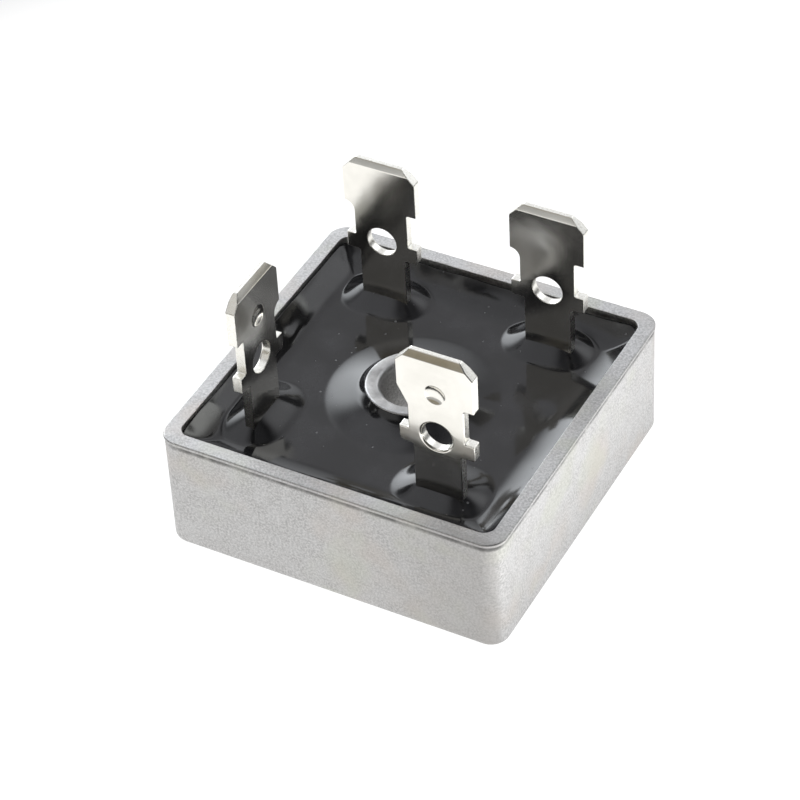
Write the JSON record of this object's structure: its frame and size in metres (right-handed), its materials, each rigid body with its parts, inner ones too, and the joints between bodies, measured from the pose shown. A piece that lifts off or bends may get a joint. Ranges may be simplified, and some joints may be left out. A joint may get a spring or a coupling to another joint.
{
  "type": "bridge rectifier",
  "caption": "Square metal-case bridge rectifier, potted in black compound, with a central screw hole and quick-connect tabs, one of them turned to mark the positive.",
  "frame": {"origin": "middle of the flat base of the case, where the screw's axis leaves it", "axes": "+Z along the screw hole, from the base towards the tabs; +X to the right along the front face, with the turned positive tab at the front left; +Y to the back"},
  "size_m": [0.0286, 0.0286, 0.0222],
  "materials": {
    "case_metal": "matt cast aluminium",
    "sheet": "plain insulating sheet",
    "potting": "glossy black epoxy",
    "tinned_strip": "bright tin plate",
    "die": "bare silicon and glass",
    "solder": "satin solder"
  },
  "bodies": {
    "root": {"case": "case_metal", "insulating_sheet": "sheet", "potting": "potting", "terminal_positive": "tinned_strip", "terminal_negative": "tinned_strip", "terminal_ac_front": "tinned_strip", "terminal_ac_back": "tinned_strip", "die_front": "die", "die_right": "die", "die_back": "die", "die_left": "die", "solder_lower_front": "solder", "solder_lower_right": "solder", "solder_lower_back": "solder", "solder_lower_left": "solder", "solder_upper_front": "solder", "solder_upper_right": "solder", "solder_upper_back": "solder", "solder_upper_left": "solder"}
  },
  "joints": []
}
